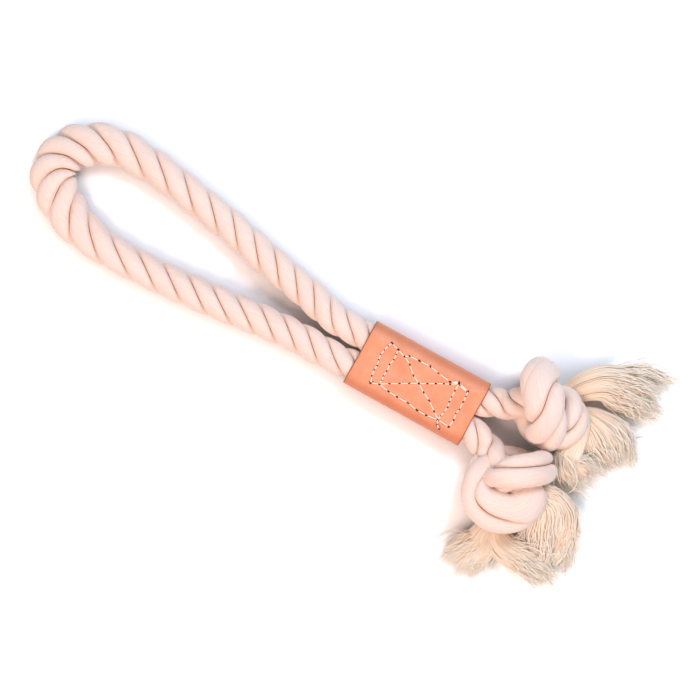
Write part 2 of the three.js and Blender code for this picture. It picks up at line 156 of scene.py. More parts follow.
# A mesh of closed tubes from points in the shape (tubes, rings, sides, 3): quads join each ring to the
# next, and one face closes each end, or quads across it where the section is a bent strip.
def tubesMesh(name, points, materials, uv=None, values=None, stripEnds=False):
    tubes, rings, sides, _ = points.shape
    first = np.arange(tubes)[:, None, None] * rings * sides
    ring = first + np.arange(rings - 1)[None, :, None] * sides
    side = np.arange(sides)[None, None, :]
    nextSide = (side + 1) % sides
    quads = np.stack([ring + side, ring + nextSide, ring + sides + nextSide, ring + sides + side], -1)
    quads = quads.reshape(-1, 4)
    if stripEnds:
        half = sides // 2
        j = np.arange(half - 1)
        strip = np.stack([j, sides - 1 - j, sides - 2 - j, j + 1], 1)
        ends = np.vstack([strip, strip[:, ::-1] + (rings - 1) * sides])
    else:
        backward = first[:, 0] + np.arange(sides)[None, ::-1]
        ends = np.vstack([backward, first[:, 0] + (rings - 1) * sides + np.arange(sides)[None, :]])
    flat = points.reshape(-1, 3)
    a, b, c, d = [flat[quads[:, i]] for i in range(4)]
    volume = np.einsum("ij,ij->", a, np.cross(b, c)) + np.einsum("ij,ij->", a, np.cross(c, d))
    loops = np.concatenate([quads.ravel(), ends.ravel()])
    counts = np.r_[np.full(len(quads), 4), np.full(len(ends), ends.shape[1])]
    starts = np.r_[0, np.cumsum(counts)[:-1]]
    mesh = bpy.data.meshes.new(name)
    mesh.vertices.add(len(flat))
    mesh.vertices.foreach_set("co", flat.astype(np.float32).ravel())
    mesh.loops.add(len(loops))
    mesh.loops.foreach_set("vertex_index", loops.astype(np.int32))
    mesh.polygons.add(len(counts))
    mesh.polygons.foreach_set("loop_start", starts.astype(np.int32))
    mesh.update(calc_edges=True)
    if uv is not None:
        uv = uv.reshape(tubes, rings, sides, 2)
        corner = uv.reshape(-1, 2)[loops]
        wrap = np.zeros(len(loops), bool)
        wrap[:len(quads) * 4].reshape(-1, 4)[:, 1:3] = np.broadcast_to(
            (side == sides - 1)[..., None], (tubes, rings - 1, sides, 2)).reshape(-1, 2)
        period = uv[:, :, -1, 1] - uv[:, :, 0, 1]
        corner[wrap, 1] += np.abs(period).mean() * (1 + 1 / (sides - 1))
        mesh.uv_layers.new(name="lay").data.foreach_set("uv", corner.astype(np.float32).ravel())
    for key, value in (values or {}).items():
        value = np.broadcast_to(value, points.shape[:3]).astype(np.float32).ravel()
        mesh.attributes.new(key, "FLOAT", "POINT").data.foreach_set("value", value)
    if volume < 0:
        mesh.flip_normals()
    mesh.shade_smooth()
    for material in materials:
        mesh.materials.append(material)
    return addObject(name, mesh)


# Sets a node's values. Each is an option, an input's value, a hex colour, or what is linked to the
# input: a socket, or a node for its first live output.
def setNode(node, values):
    for key, value in values.items():
        if isinstance(value, bpy.types.Node):
            value = next(output for output in value.outputs if output.enabled)
        if isinstance(value, str) and value.startswith("#"):
            value = linearColour(value)
        if isinstance(value, bpy.types.NodeSocket):
            node.id_data.links.new(value, node.inputs[key])
        elif isinstance(key, int) or key in node.inputs.keys():
            node.inputs[key].default_value = value
        else:
            setattr(node, key, value)


# What adds a node to a tree with its settings and links
def nodeAdder(tree):
    def add(kind, values={}):
        node = tree.nodes.new("ShaderNode" + kind)
        setNode(node, values)
        return node

    return add


# A new material, and what adds nodes to it
def newMaterial(name):
    material = bpy.data.materials.new(name)
    material.use_nodes = True
    return material, nodeAdder(material.node_tree)


# The material with its surface shader set
def shaded(material, values):
    setNode(material.node_tree.nodes["Principled BSDF"], values)
    return material


# Noise drawn out along the lay, with grains of a length and width
def layNoise(add, length, width, values={}):
    lay = add("UVMap", {"uv_map": "lay"})
    drawn = add("Mapping", {"Scale": (1 / length, 1 / width, 1), "Vector": lay})
    return add("TexNoise", {"Scale": 1.0, "Vector": drawn, **values})


print("camera")

view = {
    "pixel": 0.56 * mm,  # one picture row on the toy
    "frame": 700,
    "height": 1.6,
    "focusHeight": 12 * mm,
    "sleevePixel": (417.1, 383.2),  # the sleeve's middle in the picture
    "sensor": 36.0,
}
toCentre = [view["frame"] / 2 - value for value in view["sleevePixel"]]
cameraTarget = sleeveMiddle + (imageRight * toCentre[0] - imageUp * toCentre[1]) * view["pixel"]
cameraData = bpy.data.cameras.new("camera")
cameraData.sensor_width = view["sensor"]
cameraData.lens = (view["sensor"] * (view["height"] - view["focusHeight"])
                   / (view["frame"] * view["pixel"]))
camera = addObject("camera", cameraData)
camera.location = (cameraTarget[0], cameraTarget[1], view["height"])
camera.rotation_euler = (0, 0, photoTurn)
bpy.context.scene.camera = camera

print("materials")


# Natural cotton, carded, soft spun and laid: matt cream crowns with faint yarn lines along the rope,
# and painted shade on the strands' flanks and in the grooves between them, a darker warm tan
def laidNaturalCotton():
    look = {
        # groove and flank are colours of painted shade; flank also draws the faint yarn lines
        "crown": "#F8DFD1", "crownPale": "#FCE9DE", "groove": "#C08F6C", "flank": "#EBCBB6",
        "yarnWidth": 0.7 * mm, "yarnLength": 12 * mm, "toneSize": 22 * mm, "fuzzSize": 0.5 * mm,
        "relief": 0.3 * mm,
    }
    material, add = newMaterial("laidNaturalCotton")
    yarn = layNoise(add, look["yarnLength"], look["yarnWidth"], {"Detail": 3.0, "Roughness": 0.55})
    place = add("TexCoord").outputs["Object"]
    tone = add("TexNoise", {"Scale": 1 / look["toneSize"], "Vector": place})
    fuzz = add("TexNoise", {"Scale": 1 / look["fuzzSize"], "Vector": place})
    cream = add("Mix", {"data_type": "RGBA", 0: tone, 6: look["crown"], 7: look["crownPale"]})
    lines = add("MapRange", {"From Min": 0.35, "From Max": 0.65, "To Max": 0.4, "Value": yarn})
    lined = add("Mix", {"data_type": "RGBA", 0: lines, 6: cream, 7: look["flank"]})
    # painted shade: the flanks darken towards each groove, and the deepest part takes the groove's tan
    depth = add("Attribute", {"attribute_name": "groove"}).outputs["Fac"]
    flank = add("MapRange", {"From Min": 0.7, "From Max": 0.96, "To Max": 0.5, "Value": depth})
    sided = add("Mix", {"data_type": "RGBA", 0: flank, 6: lined, 7: look["flank"]})
    deep = add("MapRange", {"From Min": 0.95, "From Max": 0.995, "Value": depth})
    coloured = add("Mix", {"data_type": "RGBA", 0: deep, 6: sided, 7: look["groove"]})
    height = add("Math", {"operation": "MULTIPLY_ADD", 0: fuzz, 1: 0.25, 2: yarn})
    bump = add("Bump", {"Strength": 0.7, "Distance": look["relief"], "Height": height})
    return shaded(material, {
        "Base Color": coloured, "Normal": bump, "Roughness": 0.97, "Specular IOR Level": 0.1,
        "Sheen Weight": 0.25, "Sheen Roughness": 0.6, "Subsurface Weight": 0.15,
        "Subsurface Scale": 1.2 * mm, "Subsurface Radius": (1.0, 0.62, 0.42),
    })


# Soft spun cotton yarn, combed out of the lay: each yarn is matt, and differs a little in tone from
# the next; the roots near the knot and the core take a warmer, darker colour as painted shade, and so
# do the furrows between yarns
def combedCottonYarn():
    look = {
        "pale": "#FFFAEC", "warm": "#FFE4C8", "root": "#FFDCBA", "furrowShade": "#EDB98C",
        "yarnWidth": 0.6 * mm, "yarnLength": 18 * mm, "plyWidth": 0.3 * mm, "relief": 0.1 * mm,
    }
    material, add = newMaterial("combedCottonYarn")
    tone = add("Attribute", {"attribute_name": "tone"}).outputs["Fac"]
    inside = add("Attribute", {"attribute_name": "inside"}).outputs["Fac"]
    mixed = add("Mix", {"data_type": "RGBA", 0: tone, 6: look["warm"], 7: look["pale"]})
    # painted shade: the roots and the core take the warmer, darker root colour
    rooted = add("Mix", {"data_type": "RGBA", 0: inside, 6: mixed, 7: look["root"]})
    yarns = layNoise(add, look["yarnLength"], look["yarnWidth"])
    # painted shade: the furrows between the yarns take a darker tan
    between = add("MapRange", {"From Min": 0.5, "From Max": 0.3, "To Max": 0.7, "Value": yarns})
    furrowed = add("Mix", {"data_type": "RGBA", 0: between, 6: rooted, 7: look["furrowShade"]})
    place = add("TexCoord").outputs["Object"]
    ply = add("TexNoise", {"Scale": 1 / look["plyWidth"], "Detail": 1.0, "Vector": place})
    height = add("Math", {"operation": "MULTIPLY_ADD", 0: yarns, 1: 3.0, 2: ply})
    bump = add("Bump", {"Strength": 0.5, "Distance": look["relief"], "Height": height})
    return shaded(material, {
        "Base Color": furrowed, "Normal": bump, "Roughness": 0.9, "Specular IOR Level": 0.15,
        "Sheen Weight": 0.2, "Sheen Roughness": 0.5, "Sheen Tint": "#FFE6CC",
    })


# Vegetable-tanned cowhide, undyed and oiled: a smooth tan grain with fine pores, soft cloudy patches
# and a low satin gloss, with painted shade near the long edges and the cut ends
def vegetableTannedLeather():
    look = {
        "tan": "#EA946B", "pale": "#F0A37C", "bent": "#CF7A55", "fleck": "#DC8A62",
        "cloudSize": 9 * mm, "fleckSize": 1.1 * mm, "poreSize": 0.45 * mm, "grainSize": 1.4 * mm,
        "relief": 0.08 * mm,
    }
    material, add = newMaterial("vegetableTannedLeather")
    place = add("TexCoord").outputs["Object"]
    cloud = add("TexNoise", {"Scale": 1 / look["cloudSize"], "Detail": 4.0, "Vector": place})
    spread = add("MapRange", {"From Min": 0.35, "From Max": 0.65, "Value": cloud})
    hide = add("Mix", {"data_type": "RGBA", 0: spread, 6: look["tan"], 7: look["pale"]})
    speck = add("TexNoise", {
        "Scale": 1 / look["fleckSize"], "Detail": 3.0, "Roughness": 0.7, "Vector": place,
    })
    specks = add("MapRange", {"From Min": 0.45, "From Max": 0.7, "To Max": 0.6, "Value": speck})
    flecked = add("Mix", {"data_type": "RGBA", 0: specks, 6: hide, 7: look["fleck"]})
    # painted shade towards the long edges and the cut ends
    bent = add("Attribute", {"attribute_name": "bent"}).outputs["Fac"]
    darker = add("Mix", {"data_type": "RGBA", 0: bent, 6: flecked, 7: look["bent"]})
    pore = add("TexVoronoi", {"feature": "SMOOTH_F1", "Scale": 1 / look["poreSize"], "Vector": place})
    grain = add("TexNoise", {
        "Scale": 1 / look["grainSize"], "Detail": 5.0, "Roughness": 0.6, "Vector": place,
    })
    height = add("Math", {"operation": "ADD", 0: pore, 1: grain})
    bump = add("Bump", {"Strength": 0.35, "Distance": look["relief"], "Height": height})
    return shaded(material, {
        "Base Color": darker, "Normal": bump, "Roughness": 0.52, "Specular IOR Level": 0.35,
        "Coat Weight": 0.05, "Coat Roughness": 0.4,
    })


# The cut edge of the same leather, rubbed smooth: darker and redder, because end fibres soak up oil
def burnishedLeatherEdge():
    look = {"low": "#9C5034", "high": "#BE7450", "fibreSize": 0.35 * mm, "relief": 0.12 * mm}
    material, add = newMaterial("burnishedLeatherEdge")
    place = add("TexCoord").outputs["Object"]
    fibre = add("TexNoise", {"Scale": 1 / look["fibreSize"], "Detail": 3.0, "Vector": place})
    colour = add("Mix", {"data_type": "RGBA", 0: fibre, 6: look["low"], 7: look["high"]})
    bump = add("Bump", {"Strength": 0.6, "Distance": look["relief"], "Height": fibre})
    return shaded(material, {
        "Base Color": colour, "Normal": bump, "Roughness": 0.6, "Specular IOR Level": 0.3,
    })


# Waxed linen thread, plied and drawn through beeswax: off-white, with a slight sheen along each ply
def waxedLinenThread():
    look = {
        "shade": "#F6E4CF", "wax": "#FFF8EC", "fibreLength": 2 * mm, "fibreWidth": 0.15 * mm,
        "relief": 0.05 * mm,
    }
    material, add = newMaterial("waxedLinenThread")
    fibre = layNoise(add, look["fibreLength"], look["fibreWidth"])
    colour = add("Mix", {"data_type": "RGBA", 0: fibre, 6: look["shade"], 7: look["wax"]})
    bump = add("Bump", {"Strength": 0.5, "Distance": look["relief"], "Height": fibre})
    return shaded(material, {
        "Base Color": colour, "Normal": bump, "Roughness": 0.5, "Specular IOR Level": 0.4,
    })


# A needle's slit seen from above: the dark inside of the leather and the shadow in it
def needleSlit():
    look = {"deep": "#2A0F0A", "wall": "#5A2416", "mottleSize": 0.6 * mm}
    material, add = newMaterial("needleSlit")
    place = add("TexCoord").outputs["Object"]
    mottle = add("TexNoise", {"Scale": 1 / look["mottleSize"], "Vector": place})
    colour = add("Mix", {"data_type": "RGBA", 0: mottle, 6: look["deep"], 7: look["wall"]})
    return shaded(material, {"Base Color": colour, "Roughness": 0.9, "Specular IOR Level": 0.05})


cottonRope = laidNaturalCotton()
cottonYarn = combedCottonYarn()
leather = vegetableTannedLeather()
leatherEdge = burnishedLeatherEdge()
thread = waxedLinenThread()
slit = needleSlit()

print("rope")

strand = {
    "count": 3,
    "crownShare": 0.18,  # how round the crown is, by the rope's radius
    "grooveShare": 0.17,  # how deep the groove beside it is
    "sharpness": 7,  # how suddenly the crown turns down into the groove
    "openShare": 0.1,  # how much rounder and deeper where the lay opens
    "gapShare": 0.99,  # width of a strand, by its third of the rope
    "crownColumns": 41,
    "flankColumns": 4,
    "coreShare": 0.08,
    "waverShare": 0.018,  # unevenness of each strand's thickness
    "waverLengths": [23, 37, 61, 97],  # the unevenness returns after these, in millimetres
    "pressedPale": 0.15,  # how much lighter a groove's painted shade is where it is pressed shut
    "bendLimit": 0.85,  # the inside of a bend stops at this share of its radius
}


# Three strands laid about a path. A strand's section is a wedge of a third of a turn with a crowned
# outside: reach = 1 - crown t^2 - groove |t|^sharpness, with t from -1 to 1 across the wedge, and both
# grow where the lay is open. Where a knot presses a groove shut, both sides of it rise again, to
# 1 - (1 - reach) (1 - pressed), and its painted groove shade is lighter there. A point is
# path + size reach (cos(turn + angle) across + sin(turn + angle) aside), made wider in plan and lower,
# and the turn grows along the path as the lay does. The inside of a tight bend is pressed flat, and
# nothing is below z = 0. pressed has a row for each groove, the one after each strand.
def laidRope(name, path, turn, size, wide, high, openness, pressed, seed):
    along, _, across, aside, bend = carriedFrames(path)
    half = math.pi / strand["count"] * strand["gapShare"]
    t = np.sin(np.linspace(-1, 1, strand["crownColumns"]) * math.pi / 2)
    inner = np.linspace(1, strand["coreShare"], strand["flankColumns"] + 1)[1:]
    angle = np.r_[t, np.ones(len(inner)), -np.ones(len(inner))] * half
    crown = 1 - strand["crownShare"] * t ** 2 - strand["grooveShare"] * np.abs(t) ** strand["sharpness"]
    reach = np.r_[crown, np.full(2 * len(inner), crown[-1])]
    depthShare = np.r_[np.ones(len(t)), inner, inner[::-1]]
    grooveness = np.r_[np.abs(t), np.ones(2 * len(inner))]
    index = np.arange(strand["count"])[:, None, None]
    rng = np.random.default_rng(seed)
    phase = rng.uniform(0, 2 * math.pi, (strand["count"], len(strand["waverLengths"]), 1))
    waves = np.array(strand["waverLengths"])[:, None] * mm
    waver = np.sin(2 * math.pi * along / waves + phase).sum(1)[:, :, None]
    turned = turn[:, None] + 2 * math.pi * index / strand["count"] + angle
    fall = grooveness ** 2 + grooveness ** strand["sharpness"]
    crowned = reach - openness[:, None] * strand["openShare"] * fall
    shut = np.where(angle > 0, pressed[:, :, None], np.roll(pressed, 1, axis=0)[:, :, None])
    crowned = (1 - (1 - crowned) * (1 - shut)) * depthShare
    away = crowned * (1 + strand["waverShare"] * waver / 2) * size[:, None]
    offset = (np.cos(turned) * away)[..., None] * across[:, None]
    offset = offset + (np.sin(turned) * away)[..., None] * aside[:, None]
    offset *= np.stack([wide, wide, high], -1)[:, None]
    inward = np.einsum("krsc,rc->krs", offset, bend)
    bendSquared = np.einsum("rc,rc->r", bend, bend)[:, None] + 1e-9
    over = np.clip(inward - strand["bendLimit"], 0, None) / bendSquared
    offset -= over[..., None] * bend[:, None]
    points = path[:, None] + offset
    points[..., 2] = np.maximum(points[..., 2], 0)
    uv = np.stack(np.broadcast_arrays(along[:, None], turned * radius), -1)
    # the mask of the painted shade on flanks and grooves, lighter where a groove is pressed shut
    groove = grooveness * (1 - strand["pressedPale"] * shut)
    return tubesMesh(name, points, [cottonRope], uv, {"groove": groove})


fuzz = {
    "onHandle": 5000,
    "onTail": 3500,
    "radius": 0.035 * mm,
    "length": [1.5 * mm, 4.5 * mm],
    "lift": [0.1, 0.45],  # how far a fibre's end stands off, by its length
    "curl": 0.3,
    "rings": 5,
    "sides": 3,
    "outside": 0.85,  # fibres start where a strand's section is less than this far to its groove
}


# Stray cotton fibres on a rope. Each starts at a random point of the surface and is
# start + length (run t + lift out t^1.5 + curl side sin(3 t)), with run along the surface, out square
# to it and side square to both.
def strayFibres(name, piece, count, seed):
    rng = np.random.default_rng(seed)
    size = len(piece.data.vertices)
    places, normals, depth = np.empty(size * 3), np.empty(size * 3), np.empty(size)
    piece.data.vertices.foreach_get("co", places)
    piece.data.vertex_normals.foreach_get("vector", normals)
    piece.data.attributes["groove"].data.foreach_get("value", depth)
    chosen = rng.choice(np.flatnonzero(depth < fuzz["outside"]), count)
    start, out = places.reshape(-1, 3)[chosen][:, None], normals.reshape(-1, 3)[chosen][:, None]
    run = unit(np.cross(out, rng.normal(size=(count, 1, 3))), 1e-9)
    side = np.cross(out, run)
    t = np.linspace(0, 1, fuzz["rings"])[None, :, None]
    length = rng.uniform(*fuzz["length"], (count, 1, 1))
    lift = rng.uniform(*fuzz["lift"], (count, 1, 1))
    curl = rng.uniform(-fuzz["curl"], fuzz["curl"], (count, 1, 1)) * np.sin(3 * t)
    line = start + length * (run * t + out * lift * t ** 1.5 + side * curl)
    line[..., 2] = np.maximum(line[..., 2], fuzz["radius"] * 2)
    around = roundAngles(fuzz["sides"])[:, None]
    ring = np.cos(around) * side[:, :, None] + np.sin(around) * out[:, :, None]
    points = line[:, :, None] + ring * (fuzz["radius"] * (1.1 - t))[..., None]
    fibres = tubesMesh(name, points, [cottonYarn], None, {"tone": 1.0, "inside": 0.0})
    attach(fibres, "root")
    return fibres


# A point of the rope beside the sleeve, by its place along the toy, to the side, and its lift from
# lying on the table (0) to lying in the sleeve (1)
def ropePoint(x, y, lift):
    return sleeveMiddle + [x, y, lyingHeight + lift * liftInSleeve]


handle = {
    # rope diameters past the sleeve's mouth, to the side, and the lift
    "shares": [
        [0.35, 0.5, 1], [1.12, 0.52, 0.45], [2.07, 0.74, 0.05], [3.1, 0.95, 0], [4.28, 1.2, 0],
        [5.47, 1.48, 0], [6.69, 1.68, 0], [7.85, 1.86, 0], [8.97, 1.92, 0], [9.6, 1.85, 0],
        [10.15, 1.64, 0], [10.55, 1.33, 0], [10.81, 0.95, 0], [10.89, 0.53, 0], [10.75, 0.13, 0],
        [10.44, -0.2, 0], [9.98, -0.53, 0], [9.4, -0.79, 0], [8.61, -0.96, 0], [7.8, -1.01, 0],
        [6.54, -0.97, 0], [5.36, -0.87, 0], [4.21, -0.76, 0], [3.07, -0.62, 0], [1.99, -0.53, 0.05],
        [1.1, -0.52, 0.45], [0.35, -0.5, 1],
    ],
    # millimetres from the sleeve's middle to where each groove in turn meets the outer edge
    "grooves": [
        70, 83, 97, 112, 128.5, 144, 161, 179, 197.5, 215, 231, 244, 254, 265.5, 280, 297, 316.5,
        334.5, 350, 365, 379.5, 394.5, 408.5, 422, 436,
    ],
    "spreadWide": 0.42,  # the bend opens the lay, so the rope gets wider
    "spreadHigh": 0.04,
    "spreadReach": 2.0,
    "step": 1.0 * mm,
    "layEasing": 60,
}


def handleRope():
    bendPoints = [ropePoint(-mouth - past * diameter, side * diameter, lift)
                  for past, side, lift in handle["shares"]]
    points = [ropePoint(0, legOffset, 1), ropePoint(-mouth, legOffset, 1)] + bendPoints
    points += [ropePoint(-mouth, -legOffset, 1), ropePoint(0, -legOffset, 1)]
    path = smoothRoute(points, handle["step"])
    along = distanceAlong(path)
    outside = np.minimum(along, along[-1] - along) - mouth
    share = rope["squeezeShare"] + (1 - rope["squeezeShare"]) * smoothRise(outside, 0, 2 * diameter)
    reachShare = max(past for past, _, _ in handle["shares"])
    tip = sleeveMiddle[0] - mouth - diameter * reachShare
    spread = np.exp(-((path[:, 0] - tip) / (diameter * handle["spreadReach"])) ** 2)
    marks = np.array(handle["grooves"]) * mm
    first, last = marks[1] - marks[0], marks[-1] - marks[-2]
    before = np.arange(-8, 0) * first + marks[0]
    after = np.arange(1, 9) * last + marks[-1]
    thirds = np.arange(-8, len(marks) + 8)
    turns = np.interp(along, np.r_[before, marks, after], thirds)[:, None]
    turns = eased(turns, handle["layEasing"])[:, 0]
    turn = math.radians(30) + 2 * math.pi / strand["count"] * turns
    pressed = np.zeros((strand["count"], len(path)))
    piece = laidRope("handle_rope", path, turn, radius * share, 1 + spread * handle["spreadWide"],
                     1 - spread * handle["spreadHigh"], spread, pressed, 3)
    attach(piece, "root")
    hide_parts("rope_strand_a", "rope_strand_b", "rope_strand_c")
    tuple(path[0])
    strayFibres("handle_fibres", piece, fuzz["onHandle"], 61)


knot = {
    "unit": diameter * 0.815,  # distance of two pressed passes
    "radius": 9.0 * mm,
    "height": diameter * 1.2,
    "step": 0.8 * mm,
    "easing": 10,
    "layEasing": 30,
    "openness": 0.6,
}

# Each end: the knot's place past the sleeve's mouth and to the side in rope diameters, and the way the
# rope runs into it. tail is the rope before it, and knot its route ahead, to the left and up, by the
# distance of two pressed passes. lay is degrees of turn, and spread the width in plan by the free one,
# at millimetres along. pressed is how far each groove is shut, at millimetres along. A tuft's rows give
# its place from the knot's middle, its height, half width and half height, and loose is a yarn that
# stands off on its own.
upperEnd = {
    "side": 1, "place": [1.9, 1.3], "heading": 21, "tail": [[0.3, 0.6, 1.4], [0.77, 0.79, 2.2]],
    "knot": [
        [-0.93, 0.1, -0.15], [-0.44, 0.12, -0.15], [0.14, 0.28, -0.15],
        [0.57, 0.24, -0.1], [0.82, -0.08, 0.05], [0.84, -0.55, 0.05], [0.54, -0.95, -0.2],
        [0, -0.98, -0.65], [-0.62, -0.66, -0.85], [-0.8, 0.03, -0.85], [-0.68, 0.78, -0.65],
        [-0.6, 1.2, 0], [-0.56, 0.98, 0.75], [-0.44, 0.5, 1.1], [-0.24, -0.05, 1.12],
        [-0.18, -0.52, 0.85], [-0.08, -0.8, 0.3], [0.12, -0.8, -0.3], [0.46, -0.55, -0.75],
        [1.02, -0.26, -0.8],
    ],
    "lay": [
        [0, -254], [36.8, -45], [48, 60], [60, 180], [70, 290], [100, 517], [172, 1003], [185, 1108],
        [196, 1188], [212, 1300], [300, 1860],
    ],
    "spread": [[0, 1], [163, 1], [176, 1.3], [200, 1.3], [225, 1.4], [240, 1.2], [300, 1]],
    "pressed": {2: [[156, 0], [164, 0.85], [196, 0.85], [206, 0]]},
    "loose": [
        [0.72, -1.08, 1.0], [1.27, -1.13, 1.25], [1.77, -1.54, 1.1], [1.81, -1.87, 0.9],
        [1.65, -2.13, 0.6],
    ],
    "tufts": [
        [[0.3, 0.5, 0.7, 0.3, 0.3], [0.5, 0.9, 0.8, 0.4, 0.4], [0.75, 1.2, 0.85, 0.46, 0.46],
         [1.08, 1.44, 0.78, 0.55, 0.5], [1.55, 1.56, 0.64, 0.7, 0.5], [2.16, 1.73, 0.5, 0.85, 0.42],
         [2.84, 1.79, 0.34, 0.8, 0.28]],
        [[0.92, 0.26, 0.6, 0.3, 0.3], [1.42, 0.18, 0.6, 0.55, 0.4], [1.85, 0, 0.52, 0.84, 0.44],
         [2.3, -0.3, 0.42, 0.98, 0.4], [2.68, -0.6, 0.3, 0.95, 0.26]],
        [[0.62, 0.42, 0.9, 0.26, 0.26], [0.92, 0.2, 1, 0.28, 0.28], [1.13, -0.2, 0.96, 0.28, 0.28],
         [1.18, -0.67, 0.9, 0.34, 0.3], [1.22, -1.08, 0.82, 0.46, 0.36], [1.66, -1.32, 0.66, 0.7, 0.38],
         [2.3, -1.5, 0.46, 0.82, 0.32]],
    ],
}
lowerEnd = {
    "side": -1, "place": [2.04, -1.44], "heading": -61, "tail": [[0.35, -0.53, 1.3], [0.9, -0.72, 2]],
    "knot": [
        [-0.95, -0.5, -0.15], [-0.45, -0.15, -0.15], [0.02, 0.24, 0.08], [0.3, 0.42, 0.26],
        [0.56, 0.33, 0.4], [0.75, -0.05, 0.5], [0.7, -0.55, 0.5], [0.38, -1.12, 0.42],
        [-0.2, -1.27, 0.2], [-0.75, -1.07, -0.2], [-1, -0.5, -0.7], [-1, 0.1, -0.85],
        [-0.9, 0.75, -0.65], [-0.85, 1.12, 0], [-0.74, 0.9, 0.75], [-0.65, 0.3, 1.08],
        [-0.56, -0.25, 0.9], [-0.33, -0.5, 0.3], [0, -0.4, -0.4], [0.45, -0.15, -0.8], [1.1, 0, -0.8],
    ],
    "lay": [
        [0, -241], [36.8, -6], [45, 60], [57.5, 177], [90, 397], [98, 440], [104, 455], [117, 467],
        [123, 493], [129, 533], [134, 562], [182, 772], [194, 785], [205, 795], [215, 822], [258, 1087],
    ],
    "spread": [
        [0, 1], [78, 1], [90, 1.45], [110, 1.45], [128, 1], [178, 1], [188, 1.12], [206, 1.12],
        [216, 1], [300, 1],
    ],
    "pressed": {
        0: [[76, 0], [82, 0.85], [94, 0.85], [100, 0]], 2: [[76, 0], [82, 0.85], [94, 0.85], [100, 0]],
        1: [[76, 0], [82, 0.85], [97, 0.8], [103, 0], [116, 0], [122, 0.5], [136, 0.5], [144, 0]],
    },
    "loose": [[1.93, 0.15, 0.7], [2.48, -0.39, 0.5], [2.76, -0.77, 0.3], [2.92, -1.21, 0.1]],
    "tufts": [
        [[0.55, -0.4, 0.65, 0.3, 0.3], [0.85, 0.05, 0.8, 0.36, 0.36], [1.2, 0.22, 0.86, 0.5, 0.42],
         [1.5, -0.02, 0.76, 0.74, 0.46], [1.72, -0.5, 0.6, 0.92, 0.44], [1.95, -1.05, 0.4, 0.98, 0.36],
         [2.05, -1.5, 0.28, 1.0, 0.24]],
        [[0.33, -0.84, 0.49, 0.27, 0.27], [0.27, -1.33, 0.49, 0.35, 0.32],
         [0.65, -1.63, 0.43, 0.44, 0.35], [1.47, -1.68, 0.36, 0.56, 0.34],
         [2.43, -1.88, 0.24, 0.56, 0.22]],
        [[0.27, -0.9, 0.49, 0.27, 0.27], [0.03, -1.44, 0.46, 0.38, 0.34],
         [0.03, -1.88, 0.4, 0.56, 0.36], [-0.14, -2.42, 0.32, 0.74, 0.3],
         [-0.19, -2.85, 0.22, 0.74, 0.2]],
    ],
}
ends = {"upper": upperEnd, "lower": lowerEnd}


def knotMiddle(end):
    past, side = end["place"]
    return sleeveMiddle + [mouth + past * diameter, side * diameter, knot["height"]]


# One end of the rope from the sleeve's middle through its overhand knot, on the route that the knot's
# shares give in the directions ahead, left and up. readOff gives a table's values along the path, in
# straight lines between its rows.
def tailRope(name, end, seed):
    heading = math.radians(end["heading"])
    directions = np.array([[math.cos(heading), math.sin(heading), 0],
                           [-math.sin(heading), math.cos(heading), 0], [0, 0, 1]])
    points = [ropePoint(x, end["side"] * legOffset, 1) for x in (0, mouth * 0.6, mouth)]
    points += [ropePoint(mouth + past * diameter, side * diameter, lift)
               for past, side, lift in end["tail"]]
    points += list(knotMiddle(end) + knot["unit"] * np.array(end["knot"]) @ directions)
    path = eased(smoothRoute(points, knot["step"]), knot["easing"])
    along = distanceAlong(path)
    inKnot = smoothRise(along, mouth, mouth + 1.5 * diameter)
    size = squeezed + (knot["radius"] - squeezed) * inKnot

    def readOff(table):
        marks, values = np.array(table).T
        return np.interp(along, marks * mm, values)

    turn = np.radians(eased(readOff(end["lay"])[:, None], knot["layEasing"])[:, 0])
    wide = readOff(end["spread"])
    pressed = np.zeros((strand["count"], len(path)))
    for groove, table in end["pressed"].items():
        pressed[groove] = readOff(table)
    piece = laidRope(name, path, turn, size, wide, np.ones_like(wide), inKnot * knot["openness"],
                     pressed, seed)
    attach(piece, "root")
    return piece, path, along[-1]


handleRope()
tails = {key: tailRope(f"{key}_tail_and_knot", end, 11 + end["side"]) for key, end in ends.items()}

print("tufts")

yarn = {
    "radius": 0.25 * mm,
    "section": [[1.1, 0.5], [-1.1, 0.5], [-1.1, -0.5], [1.1, -0.5]],  # pressed flat, by its radius
    "thickness": [0.75, 1.15],
    "length": [0.8, 1.12],  # by the tuft's
    "rings": 18,
    "routeStep": 0.5 * mm,
    "perMillimetre": 30,  # yarns by each millimetre of a tuft's widest half width times its half height
    "rootReach": [0.82, 1.04],  # how far out the yarns lie at the root, by the tuft's size
    "locks": 14,
    "lockReach": 0.95,  # how far out the outermost lock lies
    "lockLength": [0.8, 1.1],
    "gather": 0.4,  # how far yarns draw together into locks at their ends
    "lockDrift": 0.4,  # how far a lock strays from its place, by the tuft's half width
    "drift": 0.08,  # and each yarn
    "wave": 0.7 * mm,
    "waveLength": [9, 17],  # millimetres
    "stray": 0.16,  # share of the yarns that stand off on their own
    "strayReach": 0.55,
    "looseSides": 6,
    "coreShares": [[0, 0.93], [0.3, 0.92], [0.6, 0.82], [0.78, 0.6], [0.9, 0.12]],
    "coreRings": 40,
    "coreSides": 48,
    "flute": 0.05,
}


